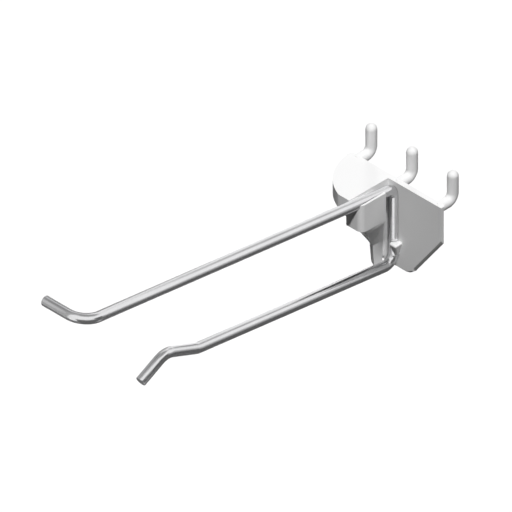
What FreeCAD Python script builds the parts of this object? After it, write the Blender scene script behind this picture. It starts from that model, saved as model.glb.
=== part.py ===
import FreeCAD, Part
import math
import os

import Sketcher

# Pegboard hook: a moulded plastic back with three upturned pegs, and one bent wire held in it.
# Sizes are in millimetres and degrees. The origin is where the axis of the centre peg's root
# crosses the back of the plate. X runs to the right along the board, Y into it and Z up.

doc = FreeCAD.newDocument("pegboard_hook")

# Sizes

SIZES = (
    ("peg_pitch", 25.4),
    ("peg_dia", 5.3),
    ("peg_bend", 4.0),
    ("peg_reach", 8.4),
    ("peg_rise", 15.2),
    ("dome_step", 25.0),
    ("top_height", 2.45),
    ("plate_width", 58.6),
    ("plate_thick", 2.8),
    ("plate_height", 45.85),
    ("side_height", 19.3),
    ("side_relief", 1.1),
    ("foot_width", 19.4),
    ("foot_round", 7.5),
    ("plate_bevel", 0.9),
    ("lobe_radius", 29.1),
    ("lobe_front", 27.25),
    ("rim_height", 7.3),
    ("cone_drop", 31.95),
    ("cone_foot", 13.0),
    ("jaw_drop", 43.0),
    ("jaw_foot", 12.2),
    ("block_left", 5.45),
    ("block_right", 3.8),
    ("block_depth", 17.1),
    ("ramp_drop", 14.6),
    ("block_round", 2.8),
    ("trough_left", 3.64),
    ("trough_right", 2.65),
    ("notch_left", 6.2),
    ("notch_top_depth", 8.9),
    ("notch_low_depth", 3.6),
    ("nub_drop", 30.65),
    ("nub_height", 7.0),
    ("nub_left", 0.8),
    ("nub_right", 5.3),
    ("nub_front", 4.6),
    ("nub_tip_left", 1.2),
    ("nub_tip_right", 3.2),
    ("nub_tip_front", 1.8),
    ("nub_round", 0.8),
    ("seat_clear", 0.1),
    ("wire_dia", 5.1),
    ("wire_proud", 0.4),
    ("wire_drop", 1.1),
    ("corner_span", 40.2),
    ("arm_tilt", 7.0),
    ("arm_length", 194.5),
    ("upper_bend", 4.6),
    ("cross_length", 24.3),
    ("cross_bend", 9.5),
    ("lower_length", 123.6),
    ("lower_bend", 5.5),
    ("climb_angle", 21.0),
    ("climb_length", 21.1),
    ("fall_angle", 27.9),
    ("fall_length", 17.4),
    ("nose_bend", 10.0),
)

sheet = doc.addObject("Spreadsheet::Sheet", "sizes")
for row, (word, value) in enumerate(SIZES, start=1):
    sheet.set("A%d" % row, word)
    sheet.set("B%d" % row, str(value))
    sheet.setAlias("B%d" % row, word)
doc.recompute()


def amount(formula):
    """Returns the value of a formula written in the sheet's words, as the features will see it."""
    value = sheet.evalExpression(formula)
    return float(getattr(value, "Value", value))


def bind(thing, prop, formula):
    """Ties one property of a feature to a formula in the sheet's words."""
    thing.setExpression(prop, named(formula))


def named(formula):
    """Puts the sheet's name before each of its words in a formula."""
    words = sorted((word for word, value in SIZES), key=len, reverse=True)
    text = ""
    rest = formula
    while rest:
        found = next((w for w in words if rest.startswith(w)), None)
        if found:
            text += "sizes." + found
            rest = rest[len(found):]
        else:
            text += rest[0]
            rest = rest[1:]
    return text


# Sketch helpers, with the numbers of a line's or arc's points and of a sketch's two axes

START, END, MIDDLE = 1, 2, 3
LEVEL_AXIS, UPRIGHT_AXIS = -1, -2


def origin_part(body, role):
    """Returns the plane or axis of a body's own origin that has the given role."""
    return next(part for part in body.Origin.OriginFeatures if part.Role == role)


def new_sketch(body, label, role, shift=None, turn=None):
    """Adds a sketch on an origin plane, moved by formulas along the plane's own x, y and z."""
    sketch = body.newObject("Sketcher::SketchObject", label)
    sketch.AttachmentSupport = [(origin_part(body, role), "")]
    sketch.MapMode = "FlatFace"
    if turn:
        axis, angle = turn
        sketch.AttachmentOffset = FreeCAD.Placement(
            FreeCAD.Vector(0, 0, 0), FreeCAD.Rotation(axis, amount(angle)))
        bind(sketch, "AttachmentOffset.Rotation.Angle", angle)
    for letter, formula in (shift or {}).items():
        bind(sketch, "AttachmentOffset.Base." + letter, formula)
    return sketch


def pin_point(sketch, geo, end, across, along):
    """Fixes one point of a sketch at coordinates given as formulas."""
    for kind, formula, axis in (
            ("DistanceX", across, UPRIGHT_AXIS), ("DistanceY", along, LEVEL_AXIS)):
        if formula == "0":
            sketch.addConstraint(Sketcher.Constraint("PointOnObject", geo, end, axis))
        else:
            place = sketch.addConstraint(Sketcher.Constraint(kind, geo, end, amount(formula)))
            bind(sketch, "Constraints[%d]" % place, formula)


def outline(sketch, corners):
    """Draws a closed polygon whose corners are pairs of formulas."""
    spots = [FreeCAD.Vector(amount(across), amount(along), 0) for across, along in corners]
    count = len(spots)
    for index in range(count):
        sketch.addGeometry(Part.LineSegment(spots[index], spots[(index + 1) % count]), False)
    for index in range(count):
        following = (index + 1) % count
        sketch.addConstraint(Sketcher.Constraint("Coincident", index, END, following, START))
    for index, (across, along) in enumerate(corners):
        pin_point(sketch, index, START, across, along)


def disc(sketch, across, along, radius):
    """Draws a circle with its centre and radius given as formulas."""
    middle = FreeCAD.Vector(amount(across), amount(along), 0)
    circle = Part.Circle(middle, FreeCAD.Vector(0, 0, 1), amount(radius))
    geo = sketch.addGeometry(circle, False)
    pin_point(sketch, geo, MIDDLE, across, along)
    place = sketch.addConstraint(Sketcher.Constraint("Radius", geo, amount(radius)))
    bind(sketch, "Constraints[%d]" % place, radius)


def bent_path(sketch, start, runs, bends):
    """Draws straight runs joined by tangent arcs.

    A run is (length, heading) and a bend is a radius, all given as formulas.
    """
    spot = FreeCAD.Vector(amount(start[0]), amount(start[1]), 0)
    last = None
    for index, (length, heading) in enumerate(runs):
        way = math.radians(amount(heading))
        ahead = FreeCAD.Vector(math.cos(way), math.sin(way), 0)
        if last is not None:
            radius = amount(bends[index - 1])
            turn = math.remainder(way - last, 2 * math.pi)
            side = math.copysign(1.0, turn)
            inward = FreeCAD.Vector(-math.sin(last), math.cos(last), 0) * side
            middle = spot + inward * radius
            opening = last - side * math.pi / 2
            closing = way - side * math.pi / 2
            first, final = (opening, closing) if side > 0 else (closing, opening)
            circle = Part.Circle(middle, FreeCAD.Vector(0, 0, 1), radius)
            arc = sketch.addGeometry(Part.ArcOfCircle(circle, first, final), False)
            near, far = (START, END) if side > 0 else (END, START)
            sketch.addConstraint(Sketcher.Constraint("Tangent", line, END, arc, near))
            place = sketch.addConstraint(Sketcher.Constraint("Radius", arc, radius))
            bind(sketch, "Constraints[%d]" % place, bends[index - 1])
            spot = middle + FreeCAD.Vector(math.cos(closing), math.sin(closing), 0) * radius
        finish = spot + ahead * amount(length)
        line = sketch.addGeometry(Part.LineSegment(spot, finish), False)
        if last is None:
            pin_point(sketch, line, START, start[0], start[1])
        else:
            sketch.addConstraint(Sketcher.Constraint("Tangent", arc, far, line, START))
        place = sketch.addConstraint(Sketcher.Constraint("Angle", line, way))
        bind(sketch, "Constraints[%d]" % place, heading)
        place = sketch.addConstraint(Sketcher.Constraint("Distance", line, amount(length)))
        bind(sketch, "Constraints[%d]" % place, length)
        spot = finish
        last = way


# Feature helpers


def pipe(body, label, kind, profile, spine):
    """Sweeps a profile along all the edges of a spine sketch."""
    doc.recompute()
    feature = body.newObject("PartDesign::" + kind, label)
    feature.Profile = profile
    feature.Spine = (spine, ["Edge%d" % (n + 1) for n in range(len(spine.Shape.Edges))])
    doc.recompute()
    return feature


def pad(body, label, sketch, length, reverse=False):
    """Pads a sketch by a formula."""
    feature = body.newObject("PartDesign::Pad", label)
    feature.Profile = sketch
    feature.Reversed = reverse
    bind(feature, "Length", length)
    doc.recompute()
    return feature


def pocket(body, label, sketch, length, reverse=False):
    """Cuts a sketch away over a length given as a formula."""
    feature = body.newObject("PartDesign::Pocket", label)
    feature.Profile = sketch
    feature.Reversed = reverse
    bind(feature, "Length", length)
    doc.recompute()
    return feature


def turned(body, label, sketch, angle):
    """Revolves a sketch about its own upright axis, evenly to both sides."""
    feature = body.newObject("PartDesign::Revolution", label)
    feature.Profile = sketch
    feature.ReferenceAxis = (sketch, ["V_Axis"])
    feature.Midplane = True
    bind(feature, "Angle", angle)
    doc.recompute()
    return feature


def dress(body, label, kind, base, prop, formula, wanted):
    """Rounds or bevels the edges of a feature that a test picks out."""
    names = ["Edge%d" % (n + 1) for n, edge in enumerate(base.Shape.Edges) if wanted(edge)]
    feature = body.newObject("PartDesign::" + kind, label)
    feature.Base = (base, names)
    bind(feature, prop, formula)
    doc.recompute()
    return feature


def edge_box(edge):
    """Returns the box round an edge, found from points along it."""
    box = FreeCAD.BoundBox()
    for step in edge_steps(edge):
        box.add(edge.valueAt(step))
    return box


def edge_steps(edge):
    """Returns parameters spread evenly along an edge."""
    first, last = edge.ParameterRange
    return [first + (last - first) * n / EDGE_PARTS for n in range(EDGE_PARTS + 1)]


EDGE_PARTS = 8
NEAR = 0.01

# Words used by both pieces: the plate's top lies a little under the tops of the peg roots, and the
# wire's upright runs close to the plate's front face, sunk into it by less than half.

TOP = "(top_height)"
FRONT = "(-plate_thick)"
WIRE_Y = "(-plate_thick - wire_proud)"
UPPER_Z = "(-wire_drop)"
MIDDLE_Z = "(-wire_drop - corner_span / 2)"
ARM_WAY = "(180 - arm_tilt)"
UPPER_CUT = "(upper_bend * tan((90 - arm_tilt) / 2))"
LOWER_CUT = "(lower_bend * tan((90 + arm_tilt) / 2))"
CLIMB_CUT = "(nose_bend * tan((climb_angle - arm_tilt) / 2))"
FALL_CUT = "(nose_bend * tan((climb_angle + fall_angle) / 2))"


# The moulded back

back = doc.addObject("PartDesign::Body", "moulded_back_body")

# Plate: straight sides, then slanting sides down to a narrow foot with rounded corners

plate_outline = new_sketch(back, "plate_outline", "XZ_Plane")
outline(plate_outline, (
    ("-plate_width / 2", TOP),
    ("plate_width / 2", TOP),
    ("plate_width / 2", TOP + " - side_height"),
    ("foot_width / 2", TOP + " - plate_height"),
    ("-foot_width / 2", TOP + " - plate_height"),
    ("-plate_width / 2", TOP + " - side_height"),
))
plate = pad(back, "plate", plate_outline, "plate_thick")


def foot_corner(edge):
    """Picks the two edges through the plate at the foot's corners."""
    box = edge_box(edge)
    low = amount(TOP + " - plate_height")
    return box.YLength > NEAR and abs(box.ZMax - low) < NEAR


rounded_foot = dress(back, "foot_rounds", "Fillet", plate, "Radius", "foot_round", foot_corner)


def front_border(edge):
    """Picks the slanting and rounded borders of the plate's front face, and its foot."""
    box = edge_box(edge)
    front = amount(FRONT)
    in_front = abs(box.YMax - front) < NEAR and box.YLength < NEAR
    return in_front and box.ZMax < amount(TOP + " - side_height") + NEAR


bevelled = dress(back, "plate_border", "Chamfer", rounded_foot, "Size", "plate_bevel", front_border)


def side_border(edge):
    """Picks the upright edges at the two ends of the plate's back."""
    box = edge_box(edge)
    upright = box.XLength < NEAR and box.YLength < NEAR and box.ZLength > NEAR
    return upright and abs(box.YMax) < NEAR


dress(back, "side_reliefs", "Chamfer", bevelled, "Size", "side_relief", side_border)

# Lobe: flat top level with the plate's, upright rim, and a cone under it that runs down to the jaw

lobe_profile = new_sketch(back, "lobe_profile", "YZ_Plane")
outline(lobe_profile, (
    ("0", TOP),
    ("-lobe_radius", TOP),
    ("-lobe_radius", TOP + " - rim_height"),
    ("-cone_foot", TOP + " - cone_drop"),
    ("-jaw_foot", TOP + " - jaw_drop"),
    ("0", TOP + " - jaw_drop"),
))
turned(back, "lobe", lobe_profile, "2 * acos(plate_thick / 2 / lobe_radius)")

# Block: the deeper part under the rim that carries the upper arm, its foot parallel to the arm

block_side = new_sketch(back, "block_side", "YZ_Plane", {"z": "-block_left"})
outline(block_side, (
    (FRONT, TOP + " - rim_height / 2"),
    ("-lobe_radius", TOP + " - rim_height / 2"),
    ("-lobe_radius", TOP + " - block_depth + (lobe_radius - plate_thick) * tan(arm_tilt)"),
    (FRONT, TOP + " - block_depth"),
))
pad(back, "block", block_side, "block_left + block_right")

# Flat front of the lobe and the block

front_plan = new_sketch(back, "front_plan", "XY_Plane", {"z": TOP})
outline(front_plan, (
    ("-plate_width", "-lobe_front"),
    ("plate_width", "-lobe_front"),
    ("plate_width", "-lobe_front - lobe_radius"),
    ("-plate_width", "-lobe_front - lobe_radius"),
))
pocket(back, "flat_front", front_plan, "jaw_drop")

# The right side is cut upright beside the trough, then slants in under it to the jaw

right_side = new_sketch(back, "right_side", "XZ_Plane", {"z": "plate_thick"})
outline(right_side, (
    ("block_right", TOP + " + block_depth"),
    ("block_right", TOP + " - ramp_drop"),
    ("-trough_left", TOP + " - cone_drop"),
    ("-trough_left", TOP + " - jaw_drop - block_depth"),
    ("plate_width", TOP + " - jaw_drop - block_depth"),
    ("plate_width", TOP + " + block_depth"),
))
trimmed = pocket(back, "right_side_cut", right_side, "plate_width", reverse=True)


def trough_corner(edge):
    """Picks the upright front corner of the block beside the trough."""
    box = edge_box(edge)
    flat = box.XLength < NEAR and box.YLength < NEAR
    beside = abs(box.XMax - amount("block_right")) < NEAR
    return flat and beside and box.YMax < amount("-lobe_front / 2")


dress(back, "block_corner", "Fillet", trimmed, "Radius", "block_round", trough_corner)

# Trough: open at the top, its floor rising with the arm

trough_side = new_sketch(back, "trough_side", "YZ_Plane", {"z": "-trough_left"})
outline(trough_side, (
    (FRONT, UPPER_Z),
    (WIRE_Y, UPPER_Z),
    (WIRE_Y + " - plate_width", UPPER_Z + " + plate_width * tan(arm_tilt)"),
    (WIRE_Y + " - plate_width", TOP + " + plate_width"),
    (FRONT, TOP + " + plate_width"),
))
pocket(back, "trough", trough_side, "trough_left + trough_right", reverse=True)

# Bay: the space behind the trough's right wall, open to the top and the right, for the upper bend

bay_side = new_sketch(back, "bay_side", "YZ_Plane", {"z": "-trough_left"})
outline(bay_side, (
    (FRONT, TOP + " + block_depth"),
    (FRONT + " - notch_top_depth", TOP + " + block_depth"),
    (FRONT + " - notch_top_depth", TOP + " - block_depth"),
    (FRONT, TOP + " - block_depth"),
))
pocket(back, "bay", bay_side, "trough_left + plate_width", reverse=True)

# Notch: clears the space between the cone and the plate under the rim, where the wire is swung in

notch_side = new_sketch(back, "notch_side", "YZ_Plane", {"z": "-notch_left"})
outline(notch_side, (
    (FRONT, TOP + " - rim_height"),
    (FRONT + " - notch_top_depth", TOP + " - rim_height"),
    (FRONT + " - notch_top_depth", TOP + " - block_depth"),
    (FRONT + " - notch_low_depth", TOP + " - cone_drop"),
    (FRONT + " - notch_low_depth", TOP + " - jaw_drop - block_depth"),
    (FRONT, TOP + " - jaw_drop - block_depth"),
))
pocket(back, "notch", notch_side, "notch_left + plate_width", reverse=True)

# Nub: a catch that reaches round the right of the wire and tapers downward

nub_top = new_sketch(back, "nub_top", "XY_Plane", {"z": TOP + " - nub_drop"})
outline(nub_top, (
    ("nub_left", FRONT + " + plate_thick / 2"),
    ("nub_left", FRONT + " - nub_front"),
    ("nub_right", FRONT + " - nub_front"),
    ("nub_right", FRONT + " + plate_thick / 2"),
))
nub_tip = new_sketch(back, "nub_tip", "XY_Plane", {"z": TOP + " - nub_drop - nub_height"})
outline(nub_tip, (
    ("nub_tip_left", FRONT + " + plate_thick / 2"),
    ("nub_tip_left", FRONT + " - nub_tip_front"),
    ("nub_tip_right", FRONT + " - nub_tip_front"),
    ("nub_tip_right", FRONT + " + plate_thick / 2"),
))
nub = back.newObject("PartDesign::AdditiveLoft", "nub")
nub.Profile = nub_top
nub.Sections = [nub_tip]
nub.Ruled = True
doc.recompute()


def nub_edge(edge):
    """Picks the nub's free edges: round its top and down its two front corners."""
    box = edge_box(edge)
    ahead = box.YMin < amount(FRONT + " - nub_tip_front") + NEAR
    top = amount(TOP + " - nub_drop")
    high = abs(box.ZMax - top) < NEAR
    low = box.ZMin > amount(TOP + " - nub_drop - nub_height") - NEAR
    beside = box.XMin > amount("nub_left") - NEAR and box.XMax < amount("nub_right") + NEAR
    near = box.YMin > amount(FRONT + " - nub_front") - NEAR
    return ahead and high and low and beside and near


dress(back, "nub_rounds", "Fillet", nub, "Radius", "nub_round", nub_edge)

# Pegs: round, out of the plate's back and bent up behind the board, with ends bevelled to a dome

PEG_COUNT = 3
PEG_ROW = "(%d * peg_pitch)" % (PEG_COUNT - 1)
FIRST_PEG = "(-" + PEG_ROW + " / 2)"
DOME_FOOT = "(peg_rise - peg_dia / 2)"
DOME_STEPS = 3
peg_round = new_sketch(back, "peg_round", "XZ_Plane", {"z": "plate_thick / 2"})
disc(peg_round, FIRST_PEG, "0", "peg_dia / 2")
peg_line = new_sketch(back, "peg_line", "YZ_Plane", {"z": FIRST_PEG})
bent_path(
    peg_line,
    ("-plate_thick / 2", "0"),
    (("plate_thick / 2 + peg_reach - peg_bend", "0"), (DOME_FOOT + " - peg_bend", "90")),
    ("peg_bend",),
)
peg = pipe(back, "peg", "AdditivePipe", peg_round, peg_line)
dome_profile = new_sketch(back, "dome_profile", "YZ_Plane", {"x": "peg_reach", "z": FIRST_PEG})
dome_ring = [
    (
        "peg_dia / 2 * cos(%d * dome_step)" % step,
        DOME_FOOT + " + peg_dia / 2 * sin(%d * dome_step)" % step,
    )
    for step in range(DOME_STEPS + 1)
]
outline(dome_profile, (
    ("0", DOME_FOOT + " - peg_dia / 2"),
    ("peg_dia / 2", DOME_FOOT + " - peg_dia / 2"),
    *dome_ring,
    ("0", dome_ring[-1][1]),
))
dome = turned(back, "dome", dome_profile, "360")
pegs = back.newObject("PartDesign::LinearPattern", "pegs")
pegs.Originals = [peg, dome]
pegs.Direction = (origin_part(back, "X_Axis"), [""])
bind(pegs, "Length", PEG_ROW)
pegs.Occurrences = PEG_COUNT
back.Tip = pegs
doc.recompute()

# Seat of the wire: a little wider than the wire, so that it bears on the floor of the seat only

SEAT_Y = WIRE_Y + " - seat_clear"
SEAT_LIFT = "seat_clear * (tan(arm_tilt) + 1 / cos(arm_tilt))"
seat_round = new_sketch(back, "seat_round", "XY_Plane", {"z": MIDDLE_Z})
disc(seat_round, "0", SEAT_Y, "wire_dia / 2 + seat_clear")
seat_up = new_sketch(back, "seat_up", "YZ_Plane")
bent_path(
    seat_up,
    (SEAT_Y, MIDDLE_Z),
    (("corner_span / 2 + " + SEAT_LIFT + " - " + UPPER_CUT, "90"), ("plate_width", ARM_WAY)),
    ("upper_bend",),
)
pipe(back, "seat_upper", "SubtractivePipe", seat_round, seat_up)
seat_round_low = new_sketch(back, "seat_round_low", "XY_Plane", {"z": MIDDLE_Z})
disc(seat_round_low, "0", SEAT_Y, "wire_dia / 2 + seat_clear")
seat_down = new_sketch(back, "seat_down", "YZ_Plane")
bent_path(
    seat_down,
    (SEAT_Y, MIDDLE_Z),
    (("corner_span / 2 - " + LOWER_CUT, "-90"), ("plate_width", ARM_WAY)),
    ("lower_bend",),
)
pipe(back, "seat_lower", "SubtractivePipe", seat_round_low, seat_down)

# The wire: one bent rod with two arms

wire = doc.addObject("PartDesign::Body", "wire_hook_body")

# Upright, upper bend and upper arm

wire_round = new_sketch(wire, "wire_round", "XY_Plane", {"z": MIDDLE_Z})
disc(wire_round, "0", WIRE_Y, "wire_dia / 2")
wire_up = new_sketch(wire, "wire_up", "YZ_Plane")
bent_path(
    wire_up,
    (WIRE_Y, MIDDLE_Z),
    (
        ("corner_span / 2 - " + UPPER_CUT, "90"),
        ("arm_length - " + UPPER_CUT + " - cross_bend", ARM_WAY),
    ),
    ("upper_bend",),
)
pipe(wire, "upper_arm", "AdditivePipe", wire_round, wire_up)

# Lower bend, lower arm and its raised nose

wire_round_low = new_sketch(wire, "wire_round_low", "XY_Plane", {"z": MIDDLE_Z})
disc(wire_round_low, "0", WIRE_Y, "wire_dia / 2")
wire_down = new_sketch(wire, "wire_down", "YZ_Plane")
bent_path(
    wire_down,
    (WIRE_Y, MIDDLE_Z),
    (
        ("corner_span / 2 - " + LOWER_CUT, "-90"),
        ("lower_length - " + LOWER_CUT + " - " + CLIMB_CUT, ARM_WAY),
        ("climb_length - " + CLIMB_CUT + " - " + FALL_CUT, "180 - climb_angle"),
        ("fall_length - " + FALL_CUT, "180 + fall_angle"),
    ),
    ("lower_bend", "nose_bend", "nose_bend"),
)
pipe(wire, "lower_arm", "AdditivePipe", wire_round_low, wire_down)

# Crossbar at the front of the upper arm

ARM_END_Y = WIRE_Y + " - arm_length * cos(arm_tilt)"
ARM_END_Z = UPPER_Z + " + arm_length * sin(arm_tilt)"
cross_round = new_sketch(wire, "cross_round", "YZ_Plane", {"z": "-cross_length"})
disc(cross_round, ARM_END_Y, ARM_END_Z, "wire_dia / 2")
cross_line = new_sketch(
    wire, "cross_line", "XY_Plane",
    {"y": ARM_END_Y, "z": ARM_END_Z},
    (FreeCAD.Vector(1, 0, 0), "-arm_tilt"))
bent_path(
    cross_line,
    ("-cross_length", "0"),
    (("cross_length - cross_bend", "0"), ("cross_bend / 2", "90")),
    ("cross_bend",),
)
pipe(wire, "crossbar", "AdditivePipe", cross_round, cross_line)

# Both pieces are checked and written

doc.recompute()
for item in doc.Objects:
    if "Invalid" in item.State or "Error" in item.State:
        raise RuntimeError("%s did not build: %s" % (item.Name, item.State))

os.makedirs("parts", exist_ok=True)
for body, node in ((back, "moulded_back"), (wire, "wire_hook")):
    body.Label = node
    shape = body.Shape
    if shape.isNull() or not shape.isValid() or len(shape.Solids) != 1:
        raise RuntimeError("%s is not one valid solid" % node)
    shape.exportStep("parts/%s.step" % node)
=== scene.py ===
"""Pegboard hook: a white moulded back and one bent, plated wire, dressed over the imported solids."""

import math

import bpy
import numpy as np
from mathutils import Matrix, Vector


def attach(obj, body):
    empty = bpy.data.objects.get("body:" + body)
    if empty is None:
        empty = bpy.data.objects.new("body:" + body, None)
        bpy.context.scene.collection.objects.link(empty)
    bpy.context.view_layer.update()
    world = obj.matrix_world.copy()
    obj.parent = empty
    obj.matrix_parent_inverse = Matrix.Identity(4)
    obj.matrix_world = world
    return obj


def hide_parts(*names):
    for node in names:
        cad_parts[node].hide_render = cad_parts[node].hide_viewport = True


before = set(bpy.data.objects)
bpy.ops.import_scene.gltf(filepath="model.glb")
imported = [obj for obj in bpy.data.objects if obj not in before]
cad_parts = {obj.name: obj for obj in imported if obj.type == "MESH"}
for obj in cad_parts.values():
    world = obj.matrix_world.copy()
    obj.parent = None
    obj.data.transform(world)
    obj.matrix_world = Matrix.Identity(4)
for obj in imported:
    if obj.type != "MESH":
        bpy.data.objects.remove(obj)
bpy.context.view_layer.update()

bl_info = {
    "name": "Pegboard hook",
    "version": (1, 0, 0),
    "blender": (4, 5, 0),
    "location": "View3D > Sidebar > Hook",
    "description": "Builds the wire of a pegboard hook, finishes its back and sets the studio",
    "category": "Object",
}

BODY = "root"
BACK_NODE = "moulded_back"
WIRE_NODE = "wire_hook"
MM = 0.001


# Sizes and colours that a user would change


class HookWireSizes(bpy.types.PropertyGroup):
    """Sizes of the bent wire."""

    diameter: bpy.props.FloatProperty(
        name="Diameter", description="Diameter of the drawn wire", default=5.1 * MM, unit="LENGTH")
    upright_depth: bpy.props.FloatProperty(
        name="Upright depth", description="Distance of the upright's axis in front of the board",
        default=3.2 * MM, unit="LENGTH")
    corner_drop: bpy.props.FloatProperty(
        name="Corner drop", description="Drop of the upper corner below the pegs' axis",
        default=1.1 * MM, unit="LENGTH")
    corner_span: bpy.props.FloatProperty(
        name="Corner span", description="Height of the upright between its two corners",
        default=40.2 * MM, unit="LENGTH")
    arm_tilt: bpy.props.FloatProperty(
        name="Arm tilt", description="Rise of both arms towards their front",
        default=math.radians(7.0), subtype="ANGLE")
    arm_length: bpy.props.FloatProperty(
        name="Upper arm", description="Length of the upper arm from corner to corner",
        default=194.5 * MM, unit="LENGTH")
    upper_bend: bpy.props.FloatProperty(
        name="Upper bend", description="Radius of the upper bend on the wire's axis",
        default=4.6 * MM, unit="LENGTH")
    cross_length: bpy.props.FloatProperty(
        name="Crossbar", description="Length of the crossbar from its corner to its end",
        default=24.3 * MM, unit="LENGTH")
    cross_bend: bpy.props.FloatProperty(
        name="Crossbar bend", description="Radius of the crossbar's bend on the wire's axis",
        default=9.5 * MM, unit="LENGTH")
    lower_length: bpy.props.FloatProperty(
        name="Lower arm", description="Length of the lower arm from its corner to the nose",
        default=123.6 * MM, unit="LENGTH")
    lower_bend: bpy.props.FloatProperty(
        name="Lower bend", description="Radius of the lower bend on the wire's axis",
        default=5.5 * MM, unit="LENGTH")
    climb_angle: bpy.props.FloatProperty(
        name="Nose climb", description="Slope of the nose on its way up",
        default=math.radians(21.0), subtype="ANGLE")
    climb_length: bpy.props.FloatProperty(
        name="Climb length", description="Length of the nose's rising run",
        default=21.1 * MM, unit="LENGTH")
    fall_angle: bpy.props.FloatProperty(
        name="Nose fall", description="Slope of the nose on its way down",
        default=math.radians(27.9), subtype="ANGLE")
    fall_length: bpy.props.FloatProperty(
        name="Fall length", description="Length of the nose's falling run",
        default=17.4 * MM, unit="LENGTH")
    nose_bend: bpy.props.FloatProperty(
        name="Nose bend", description="Radius of the two bends of the nose",
        default=10.0 * MM, unit="LENGTH")
    end_round: bpy.props.FloatProperty(
        name="End rounding", description="Rounding left by tumbling on the cut ends",
        default=0.3 * MM, unit="LENGTH")


class HookFinishes(bpy.types.PropertyGroup):
    """Colours of the two finishes."""

    plastic: bpy.props.FloatVectorProperty(
        name="Plastic", description="Colour of the moulded back", subtype="COLOR", size=4,
        default=(0.9, 0.9, 0.9, 1.0))
    plate: bpy.props.FloatVectorProperty(
        name="Plating", description="Colour of the plated wire", subtype="COLOR", size=4,
        default=(0.80, 0.80, 0.81, 1.0))


class HookStudio(bpy.types.PropertyGroup):
    """The camera, the lamps and the floor."""

    azimuth: bpy.props.FloatProperty(
        name="View from", description="Turn of the camera to the right of the hook's front",
        default=math.radians(45.0), subtype="ANGLE")
    elevation: bpy.props.FloatProperty(
        name="View height", description="Height of the camera above the horizon",
        default=math.atan(math.sqrt(0.5)), subtype="ANGLE")
    picture_width: bpy.props.FloatProperty(
        name="Picture width", description="Width of the picture at the hook", default=0.2258,
        unit="LENGTH")
    aim: bpy.props.FloatVectorProperty(
        name="Aim", description="Point in the middle of the picture", subtype="XYZ", size=3,
        default=(-30.67 * MM, -58.27 * MM, -25.5 * MM))
    floor_drop: bpy.props.FloatProperty(
        name="Floor", description="Drop of the floor below the board's pegs", default=0.42,
        unit="LENGTH")
    key: bpy.props.FloatProperty(
        name="Key lamp", description="Strength of the lamp from the camera's side", default=2.76)
    key_turn: bpy.props.FloatProperty(
        name="Key from", description="Turn of the key lamp to the right of the hook's front",
        default=math.radians(48.5), subtype="ANGLE")
    top: bpy.props.FloatProperty(
        name="Top lamp", description="Strength of the lamp from above", default=0.78)
    back: bpy.props.FloatProperty(
        name="Back lamp", description="Strength of the lamp on the side away from the camera",
        default=1.6)
    ambient: bpy.props.FloatProperty(
        name="Room light", description="Level of the light from all round", default=0.03)


# Shapes worked out with numpy

# Place of the upright among the runs of the wire
UPRIGHT_RUN = 3


def wire_runs(size):
    """Returns the wire's straight runs and bends in order, from the nose's end to the crossbar's.

    Each run is (length, direction) and each bend a radius. A straight run loses at each end the
    tangent length of the bend there, which is radius times tan(half the turn).
    """
    def heading(angle):
        return np.array([0.0, -math.cos(angle), math.sin(angle)])

    arm = heading(size.arm_tilt)
    fall = -heading(-size.fall_angle)
    climb = -heading(size.climb_angle)
    up = np.array([0.0, 0.0, 1.0])
    left = np.array([-1.0, 0.0, 0.0])
    runs = (
        (size.fall_length, fall),
        (size.climb_length, climb),
        (size.lower_length, -arm),
        (size.corner_span, up),
        (size.arm_length, arm),
        (size.cross_length, left),
    )
    bends = (size.nose_bend, size.nose_bend, size.lower_bend, size.upper_bend, size.cross_bend)
    return runs, bends


def wire_centreline(
        size, arc_step=math.radians(3.0), run_step=6.0 * MM, fewest_in_run=2, fewest_in_arc=6):
    """Returns points and directions along the wire's axis.

    A corner at P between unit directions a and b, turned by angle t with radius R, becomes the arc
    P - a R tan(t/2) + R (a sin u + n (1 - cos u)), with n square to a in the plane of a and b and
    u from 0 to t. Straight runs join the arcs.
    """
    runs, bends = wire_runs(size)
    ways = [way for length, way in runs]
    turns = [math.acos(np.clip(a @ b, -1, 1)) for a, b in zip(ways, ways[1:])]
    cuts = [0.0] + [r * math.tan(t / 2) for r, t in zip(bends, turns)] + [0.0]
    lower_corner = np.array([0.0, -size.upright_depth, -size.corner_drop - size.corner_span])
    corner = lower_corner - sum(length * way for length, way in runs[:UPRIGHT_RUN])
    points, aims = [], []
    for index, (length, way) in enumerate(runs):
        straight = length - cuts[index] - cuts[index + 1]
        count = max(fewest_in_run, int(straight / run_step))
        along = np.linspace(cuts[index], length - cuts[index + 1], count)[:, None]
        points.append(corner + along * way)
        aims.append(np.repeat(way[None], count, axis=0))
        corner = corner + length * way
        if index < len(bends):
            turn, radius, following = turns[index], bends[index], ways[index + 1]
            inward = following - (following @ way) * way
            inward = inward / np.linalg.norm(inward)
            parts = max(fewest_in_arc, int(turn / arc_step))
            u = np.linspace(0.0, turn, parts + 1)[1:-1, None]
            start = corner - way * cuts[index + 1]
            points.append(start + radius * (way * np.sin(u) + inward * (1 - np.cos(u))))
            aims.append(way * np.cos(u) + inward * np.sin(u))
    return np.concatenate(points), np.concatenate(aims)


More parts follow.
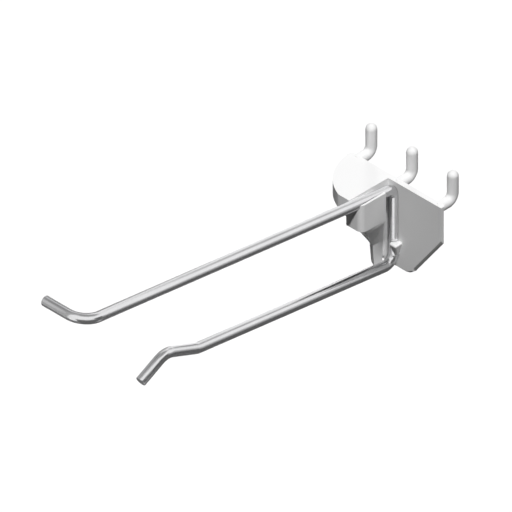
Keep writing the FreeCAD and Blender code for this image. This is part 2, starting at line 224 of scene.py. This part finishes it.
def wire_surface(size, sides=64, round_steps=5, level=1e-6):
    """Returns vertices, faces and lengthwise positions of the wire.

    The surface is C(s) + r(s) (N cos a + B sin a): C is the axis, N and B are square to it, a runs
    round the wire and r(s) is the wire's radius, drawn in by a quarter circle at both cut ends.
    In the plane of the arms B is T x X; on the crossbar it keeps the value it has at the arm's end,
    so the surface does not twist.
    """
    points, aims = wire_centreline(size)
    radius = size.diameter / 2
    turn = np.linspace(0.0, math.pi / 2, round_steps)
    inset = size.end_round * (1 - np.sin(turn))
    reach = size.end_round * (1 - np.cos(turn))
    first = points[0] + reach[:, None] * aims[0]
    last = points[-1] - reach[::-1, None] * aims[-1]
    centre = np.concatenate([first, points[1:-1], last])
    way = np.concatenate(
        [np.repeat(aims[:1], round_steps, 0), aims[1:-1], np.repeat(aims[-1:], round_steps, 0)])
    body = np.full(len(points) - 2, radius)
    thick = np.concatenate([radius - inset, body, (radius - inset)[::-1]])
    across = np.array([1.0, 0.0, 0.0])
    flat = np.abs(way[:, 0]) < level
    arm_binormal = np.cross(way[flat][-1], across)
    binormal = np.where(flat[:, None], np.cross(way, across), arm_binormal)
    normal = np.cross(binormal, way)
    angle = np.linspace(0.0, 2 * math.pi, sides, endpoint=False)
    ring = normal[:, None] * np.cos(angle)[:, None] + binormal[:, None] * np.sin(angle)[:, None]
    vertices = (centre[:, None] + thick[:, None, None] * ring).reshape(-1, 3)
    rows = len(centre)
    row, side = np.meshgrid(np.arange(rows - 1), np.arange(sides), indexing="ij")
    following = (side + 1) % sides
    quads = np.stack(
        [row * sides + side, (row + 1) * sides + side,
         (row + 1) * sides + following, row * sides + following], axis=-1).reshape(-1, 4)
    caps = [list(range(sides)), list(range((rows - 1) * sides, rows * sides))[::-1]]
    steps = np.linalg.norm(np.diff(centre, axis=0), axis=1)
    travel = np.concatenate([[0.0], np.cumsum(steps)])
    return vertices, quads.tolist() + caps, travel, sides


def make_piece(name, vertices, faces):
    """Puts a surface into a new object at the origin."""
    mesh = bpy.data.meshes.new(name)
    mesh.from_pydata(vertices.tolist(), [], faces)
    mesh.validate()
    mesh.update()
    piece = bpy.data.objects.new(name, mesh)
    bpy.context.scene.collection.objects.link(piece)
    return piece


def face_outward(mesh):
    """Turns a closed mesh the right way round if its signed volume is negative."""
    mesh.calc_loop_triangles()
    corners = np.empty(len(mesh.loop_triangles) * 3, np.int32)
    mesh.loop_triangles.foreach_get("vertices", corners)
    spots = np.empty(len(mesh.vertices) * 3, np.float32)
    mesh.vertices.foreach_get("co", spots)
    tri = spots.reshape(-1, 3)[corners.reshape(-1, 3)].astype(float)
    volume = np.einsum("ij,ij->i", tri[:, 0], np.cross(tri[:, 1], tri[:, 2])).sum()
    if volume < 0:
        mesh.flip_normals()


def shade_smooth(mesh, sharp=math.radians(35.0)):
    """Shades a mesh smooth, but for edges that turn by more than a given angle."""
    mesh.polygons.foreach_set("use_smooth", np.ones(len(mesh.polygons), bool))
    mesh.set_sharp_from_angle(angle=sharp)


# Finishes

# Ripples are counted per metre. A roughness wanders between its two values, and a colour between
# full strength and its dim share.
NOISE_DETAIL = 3.0
NOISE_SPAN = (0.3, 0.7)
FULL_SPAN = (0.0, 1.0)
PLASTIC_SPECULAR = 0.25
PLASTIC_GLOSS_RIPPLES = 90.0
PLASTIC_ROUGHNESS = (0.36, 0.46)
PLASTIC_TONE_RIPPLES = 35.0
PLASTIC_DIM = 0.985
GRAIN_RIPPLES = 2600.0
GRAIN_DEPTH = 0.02 * MM
GRAIN_STRENGTH = 0.25
WIRE_CHART = "wire_chart"
WIRE_MARK_RIPPLES = 900.0
WIRE_MARK_STRETCH = 0.04
WIRE_ROUGHNESS = (0.17, 0.25)
WIRE_TONE_RIPPLES = 60.0
WIRE_DIM = 0.95


def variation_group():
    """Makes the node group that gives both finishes their slight unevenness.

    It puts out a value that wanders between Low and High with soft noise, and a fine height.
    """
    name = "slight_unevenness"
    if name in bpy.data.node_groups:
        return bpy.data.node_groups[name]
    group = bpy.data.node_groups.new(name, "ShaderNodeTree")
    for label, kind in (
            ("Vector", "NodeSocketVector"), ("Scale", "NodeSocketFloat"),
            ("Low", "NodeSocketFloat"), ("High", "NodeSocketFloat")):
        group.interface.new_socket(name=label, in_out="INPUT", socket_type=kind)
    for label in ("Value", "Height"):
        group.interface.new_socket(name=label, in_out="OUTPUT", socket_type="NodeSocketFloat")
    nodes, links = group.nodes, group.links
    given = nodes.new("NodeGroupInput")
    result = nodes.new("NodeGroupOutput")
    noise = nodes.new("ShaderNodeTexNoise")
    noise.inputs["Detail"].default_value = NOISE_DETAIL
    spread = nodes.new("ShaderNodeMapRange")
    spread.inputs["From Min"].default_value, spread.inputs["From Max"].default_value = NOISE_SPAN
    links.new(given.outputs["Vector"], noise.inputs["Vector"])
    links.new(given.outputs["Scale"], noise.inputs["Scale"])
    links.new(noise.outputs["Fac"], spread.inputs["Value"])
    links.new(given.outputs["Low"], spread.inputs["To Min"])
    links.new(given.outputs["High"], spread.inputs["To Max"])
    links.new(spread.outputs["Result"], result.inputs["Value"])
    links.new(noise.outputs["Fac"], result.inputs["Height"])
    return group


def empty_material(name):
    """Makes a material with only its output, and returns it with its node tree and that output."""
    material = bpy.data.materials.new(name)
    material.use_nodes = True
    tree = material.node_tree
    tree.nodes.clear()
    out = tree.nodes.new("ShaderNodeOutputMaterial")
    return material, tree, out.inputs["Surface"]


def new_finish(name):
    """Makes a material with one Principled shader and returns it with its node tree and shader."""
    finish, tree, surface = empty_material(name)
    shader = tree.nodes.new("ShaderNodeBsdfPrincipled")
    tree.links.new(shader.outputs["BSDF"], surface)
    return finish, tree, shader


def place_variation(tree, vector, scale, low, high):
    """Places the unevenness group in a material with its own values."""
    node = tree.nodes.new("ShaderNodeGroup")
    node.node_tree = variation_group()
    node.inputs["Scale"].default_value = scale
    node.inputs["Low"].default_value = low
    node.inputs["High"].default_value = high
    tree.links.new(vector, node.inputs["Vector"])
    return node


def add_tone(tree, shader, vector, scale, colour, dim):
    """Lets the shader's colour wander between the given one and a slightly dimmer one."""
    tone = place_variation(tree, vector, scale, *FULL_SPAN)
    blend = tree.nodes.new("ShaderNodeMix")
    blend.data_type = "RGBA"
    red, green, blue, alpha = colour
    blend.inputs["A"].default_value = (dim * red, dim * green, dim * blue, alpha)
    blend.inputs["B"].default_value = (red, green, blue, alpha)
    tree.links.new(tone.outputs["Value"], blend.inputs["Factor"])
    tree.links.new(blend.outputs["Result"], shader.inputs["Base Color"])


def add_bump(tree, shader, height, distance, strength):
    """Feeds a height into the shader's normal."""
    bump = tree.nodes.new("ShaderNodeBump")
    bump.inputs["Distance"].default_value = distance
    bump.inputs["Strength"].default_value = strength
    tree.links.new(height, bump.inputs["Height"])
    tree.links.new(bump.outputs["Normal"], shader.inputs["Normal"])


def plastic_finish(colours):
    """Satin white moulding: soft gloss that wanders a little, with a faint spark-eroded grain."""
    finish, tree, shader = new_finish("satin_white_plastic")
    shader.inputs["Specular IOR Level"].default_value = PLASTIC_SPECULAR
    spot = tree.nodes.new("ShaderNodeTexCoord").outputs["Object"]
    gloss = place_variation(tree, spot, PLASTIC_GLOSS_RIPPLES, *PLASTIC_ROUGHNESS)
    tree.links.new(gloss.outputs["Value"], shader.inputs["Roughness"])
    add_tone(tree, shader, spot, PLASTIC_TONE_RIPPLES, colours.plastic, PLASTIC_DIM)
    grain = place_variation(tree, spot, GRAIN_RIPPLES, *FULL_SPAN)
    add_bump(tree, shader, grain.outputs["Height"], GRAIN_DEPTH, GRAIN_STRENGTH)
    return finish


def plated_finish(colours):
    """Bright plating on drawn wire: clear reflections with faint marks drawn out along the wire."""
    finish, tree, shader = new_finish("bright_plated_wire")
    shader.inputs["Metallic"].default_value = 1.0
    chart = tree.nodes.new("ShaderNodeUVMap")
    chart.uv_map = WIRE_CHART
    stretch = tree.nodes.new("ShaderNodeMapping")
    stretch.inputs["Scale"].default_value = (1.0, WIRE_MARK_STRETCH, 1.0)
    tree.links.new(chart.outputs["UV"], stretch.inputs["Vector"])
    marks = place_variation(tree, stretch.outputs["Vector"], WIRE_MARK_RIPPLES, *WIRE_ROUGHNESS)
    tree.links.new(marks.outputs["Value"], shader.inputs["Roughness"])
    add_tone(tree, shader, chart.outputs["UV"], WIRE_TONE_RIPPLES, colours.plate, WIRE_DIM)
    return finish


def crisp_shading(piece, join=1e-6, sharp=math.radians(32.0), large_first=100):
    """Shades flat faces flat and round ones round.

    Corners are joined, then split where they turn sharply, and large faces lead the shading.
    """
    weld = piece.modifiers.new("join_corners", "WELD")
    weld.merge_threshold = join
    split = piece.modifiers.new("part_at_edges", "EDGE_SPLIT")
    split.split_angle = sharp
    even = piece.modifiers.new("even_normals", "WEIGHTED_NORMAL")
    even.weight = large_first


def wear(piece, finish):
    """Gives a piece one finish all over."""
    piece.data.materials.clear()
    piece.data.materials.append(finish)


# The studio

# Height above the horizon and softness of each lamp
KEY_HEIGHT, KEY_SOFTNESS = math.radians(58.0), math.radians(6.0)
TOP_HEIGHT, TOP_SOFTNESS = math.radians(88.0), math.radians(50.0)
BACK_HEIGHT, BACK_SOFTNESS = math.radians(6.0), math.radians(8.0)

# Grey of the floor as light sees it and as the camera does
FLOOR_DARK = (0.02, 0.02, 0.02, 1.0)
FLOOR_PALE = (0.97, 0.97, 0.97, 1.0)
WHITE = (1.0, 1.0, 1.0, 1.0)

# Flags are glowing grey cards that only the hook's reflections see: painted reflections that lay
# dark and light bands in the wire. Each is a patch of a sphere: its middle, its radius, its turns
# from and to, its heights from and to in degrees, and the grey of its glow. Turns are counted from
# the hook's front to its right.
HOOK_MIDDLE = (0.0, -0.1, -0.01)
BEND_MIDDLE = (-0.003, -0.1935, 0.0223)
CROSSBAR_MIDDLE = (-0.015, -0.1963, 0.0225)
FLAGS = (
    ("low_right_card", HOOK_MIDDLE, 0.33, (115.0, 222.0), (-60.0, -10.0), 0.12),
    ("front_right_card", HOOK_MIDDLE, 0.33, (36.0, 115.0), (-30.0, -10.0), 0.14),
    ("floor_card", HOOK_MIDDLE, 0.33, (0.0, 360.0), (-90.0, -60.0), 0.14),
    ("mid_right_card", HOOK_MIDDLE, 0.33, (118.0, 146.0), (-10.0, 11.0), 0.45),
    ("right_card", HOOK_MIDDLE, 0.33, (76.0, 118.0), (-10.0, 30.0), 0.12),
    ("ceiling_card", HOOK_MIDDLE, 0.35, (0.0, 360.0), (64.0, 90.0), 0.36),
    ("back_card", HOOK_MIDDLE, 0.33, (172.0, 213.0), (34.0, 50.0), 0.5),
    ("low_back_card", HOOK_MIDDLE, 0.33, (184.0, 207.0), (2.0, 22.0), 0.22),
    ("low_left_card", HOOK_MIDDLE, 0.31, (-128.0, -2.0), (-60.0, -22.0), 0.17),
    ("left_card", HOOK_MIDDLE, 0.33, (-128.0, -15.0), (-22.0, 80.0), 0.42),
    ("left_edge_card", HOOK_MIDDLE, 0.31, (-2.0, 30.0), (-60.0, -22.0), 0.27),
    ("right_edge_card", HOOK_MIDDLE, 0.33, (84.0, 115.0), (-60.0, -30.0), 0.5),
    ("upper_left_card", HOOK_MIDDLE, 0.31, (-128.0, -100.0), (36.0, 58.0), 0.85),
    ("dim_left_card", HOOK_MIDDLE, 0.31, (-73.0, -48.0), (40.0, 62.0), 0.24),
    ("fore_left_card", HOOK_MIDDLE, 0.31, (-48.0, -28.0), (8.0, 34.0), 0.6),
    ("bend_card", BEND_MIDDLE, 0.08, (14.0, 112.0), (-82.0, 4.0), 0.14),
    ("crossbar_card", CROSSBAR_MIDDLE, 0.06, (-156.0, -131.0), (4.0, 33.0), 0.2),
)


def towards(turn, height):
    """Returns the unit direction at a turn to the right of the hook's front and a height."""
    level = math.cos(height)
    return Vector((math.sin(turn) * level, -math.cos(turn) * level, math.sin(height)))


def seen_plainly(tree, none_yet=0.5):
    """Returns a value that is 1 for rays from the camera and through or off the hook, else 0.

    A ray that has met a matt surface on its way counts as light, not as a sight of the room.
    """
    def combine(operation, one, two):
        node = tree.nodes.new("ShaderNodeMath")
        node.operation = operation
        for place, source in enumerate((one, two)):
            if isinstance(source, float):
                node.inputs[place].default_value = source
            else:
                tree.links.new(source, node.inputs[place])
        return node.outputs["Value"]

    path = tree.nodes.new("ShaderNodeLightPath").outputs
    mirrored = combine("MAXIMUM", path["Is Glossy Ray"], path["Is Transmission Ray"])
    unlit = combine("LESS_THAN", path["Diffuse Depth"], none_yet)
    return combine("MAXIMUM", path["Is Camera Ray"], combine("MULTIPLY", mirrored, unlit))


def make_floor(studio, half=4.0):
    """Makes the pale floor; it throws little light back up, so undersides stay in shade."""
    corners = half * np.array([[-1, -1], [1, -1], [1, 1], [-1, 1]], float)
    spots = np.column_stack([corners, np.full(len(corners), -studio.floor_drop)])
    floor = make_piece("floor", spots, [[0, 1, 2, 3]])
    paint, tree, surface = empty_material("pale_floor")
    matt = tree.nodes.new("ShaderNodeBsdfDiffuse")
    shade = tree.nodes.new("ShaderNodeMix")
    shade.data_type = "RGBA"
    shade.inputs["A"].default_value = FLOOR_DARK
    shade.inputs["B"].default_value = FLOOR_PALE
    tree.links.new(seen_plainly(tree), shade.inputs["Factor"])
    tree.links.new(shade.outputs["Result"], matt.inputs["Color"])
    tree.links.new(matt.outputs["BSDF"], surface)
    wear(floor, paint)
    return floor


def make_lamp(name, strength, turn, height, softness):
    """Makes a far lamp that shines from the given direction and is not itself seen in the wire."""
    data = bpy.data.lights.new(name, "SUN")
    data.energy = strength
    data.angle = softness
    lamp = bpy.data.objects.new(name, data)
    bpy.context.scene.collection.objects.link(lamp)
    lamp.rotation_euler = towards(turn, height).to_track_quat("Z", "Y").to_euler()
    lamp.visible_glossy = False
    return lamp


def make_flag(name, middle, radius, turns, heights, grey, steps=24):
    """Makes one flag, a glowing card that paints a reflection in the wire.

    The patch is C + R (cos e sin a, -cos e cos a, sin e), with a between the turns and e between
    the heights.
    """
    turn, rise = np.meshgrid(
        np.radians(np.linspace(*turns, steps)), np.radians(np.linspace(*heights, steps)))
    spots = np.stack(
        [np.cos(rise) * np.sin(turn), -np.cos(rise) * np.cos(turn), np.sin(rise)], axis=-1)
    spots = (np.array(middle) + radius * spots).reshape(-1, 3)
    row, side = np.meshgrid(np.arange(steps - 1), np.arange(steps - 1), indexing="ij")
    first = (row * steps + side).ravel()
    faces = np.column_stack([first, first + 1, first + steps + 1, first + steps]).tolist()
    flag = make_piece(name, spots, faces)
    paint, tree, surface = empty_material(name + "_paint")
    # The card glows with its grey and only reflections see it, so it is a painted reflection.
    glow = tree.nodes.new("ShaderNodeEmission")
    glow.inputs["Color"].default_value = (grey, grey, grey, 1.0)
    tree.links.new(glow.outputs["Emission"], surface)
    wear(flag, paint)
    flag.visible_camera = False
    flag.visible_diffuse = False
    flag.visible_shadow = False
    flag.visible_transmission = False
    return flag


def light_room(scene, ambient):
    """Lights the room faintly from all round; it looks white to the camera and in reflections."""
    world = bpy.data.worlds.new("plain_room")
    scene.world = world
    world.use_nodes = True
    tree = world.node_tree
    tree.nodes.clear()
    out = tree.nodes.new("ShaderNodeOutputWorld")
    air = tree.nodes.new("ShaderNodeBackground")
    level = tree.nodes.new("ShaderNodeMapRange")
    level.inputs["To Min"].default_value = ambient
    level.inputs["To Max"].default_value = 1.0
    tree.links.new(seen_plainly(tree), level.inputs["Value"])
    tree.links.new(level.outputs["Result"], air.inputs["Strength"])
    air.inputs["Color"].default_value = WHITE
    tree.links.new(air.outputs["Background"], out.inputs["Surface"])


def place_camera(scene, studio, distance=1.2, reach=50.0):
    """Places the camera for a parallel view along the body's diagonal."""
    data = bpy.data.cameras.new("camera")
    data.type = "ORTHO"
    data.ortho_scale = studio.picture_width
    data.clip_end = reach
    camera = bpy.data.objects.new("camera", data)
    scene.collection.objects.link(camera)
    back = towards(studio.azimuth, studio.elevation)
    turn = (-back).to_track_quat("-Z", "Y").to_matrix().to_4x4()
    camera.matrix_world = Matrix.Translation(Vector(studio.aim) + back * distance) @ turn
    scene.camera = camera


# Operators


class HOOK_OT_wire(bpy.types.Operator):
    """Builds the bent wire and its plated finish."""

    bl_idname = "hook.wire"
    bl_label = "Build the wire"

    def execute(self, context):
        scene = context.scene
        vertices, faces, travel, sides = wire_surface(scene.hook_wire)
        wire = make_piece("bent_wire", vertices, faces)
        mesh = wire.data
        chart = mesh.uv_layers.new(name=WIRE_CHART)
        corner = np.empty(len(mesh.loops), np.int32)
        mesh.loops.foreach_get("vertex_index", corner)
        girth = math.pi * scene.hook_wire.diameter
        around = (corner % sides) / sides * girth
        along = travel[corner // sides]
        chart.data.foreach_set("uv", np.stack([around, along], axis=1).astype(np.float32).ravel())
        face_outward(mesh)
        shade_smooth(mesh)
        wear(wire, plated_finish(scene.hook_finishes))
        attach(wire, BODY)
        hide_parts(WIRE_NODE)
        return {"FINISHED"}


class HOOK_OT_back(bpy.types.Operator):
    """Finishes the moulded back."""

    bl_idname = "hook.back"
    bl_label = "Finish the moulded back"

    def execute(self, context):
        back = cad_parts[BACK_NODE]
        crisp_shading(back)
        wear(back, plastic_finish(context.scene.hook_finishes))
        return {"FINISHED"}


class HOOK_OT_studio(bpy.types.Operator):
    """Sets the floor, the lamps, the flags, the room light and the camera."""

    bl_idname = "hook.studio"
    bl_label = "Set the studio"

    def execute(self, context):
        scene = context.scene
        studio = scene.hook_studio
        scene.view_settings.view_transform = "Standard"
        floor = make_floor(studio)
        behind = studio.azimuth + math.pi
        lamps = [
            make_lamp("key_lamp", studio.key, studio.key_turn, KEY_HEIGHT, KEY_SOFTNESS),
            make_lamp("top_lamp", studio.top, studio.azimuth, TOP_HEIGHT, TOP_SOFTNESS),
            make_lamp("back_lamp", studio.back, behind, BACK_HEIGHT, BACK_SOFTNESS),
        ]
        flags = [make_flag(*flag) for flag in FLAGS]
        light_room(scene, studio.ambient)
        place_camera(scene, studio)
        return {"FINISHED"}


# Panel and registration


class HOOK_PT_panel(bpy.types.Panel):
    """Lists the steps that build the hook."""

    bl_label = "Pegboard hook"
    bl_idname = "HOOK_PT_panel"
    bl_space_type = "VIEW_3D"
    bl_region_type = "UI"
    bl_category = "Hook"

    def draw(self, context):
        layout = self.layout
        for step in STEPS:
            layout.operator(step.bl_idname)
        for word in GROUPS:
            group = getattr(context.scene, word)
            box = layout.box()
            for setting in group.__annotations__:
                box.prop(group, setting)


STEPS = (HOOK_OT_wire, HOOK_OT_back, HOOK_OT_studio)
GROUPS = {"hook_wire": HookWireSizes, "hook_finishes": HookFinishes, "hook_studio": HookStudio}


def register():
    """Registers the classes and hangs the settings on the scene."""
    for group in GROUPS.values():
        bpy.utils.register_class(group)
    for word, group in GROUPS.items():
        setattr(bpy.types.Scene, word, bpy.props.PointerProperty(type=group))
    for step in STEPS:
        bpy.utils.register_class(step)
    bpy.utils.register_class(HOOK_PT_panel)


def unregister():
    """Takes the classes and settings away again."""
    bpy.utils.unregister_class(HOOK_PT_panel)
    for step in reversed(STEPS):
        bpy.utils.unregister_class(step)
    for word in GROUPS:
        delattr(bpy.types.Scene, word)
    for group in reversed(list(GROUPS.values())):
        bpy.utils.unregister_class(group)


def main():
    """Builds the hook and its studio."""
    register()
    bpy.ops.hook.wire()
    bpy.ops.hook.back()
    bpy.ops.hook.studio()


if __name__ == "__main__":
    main()
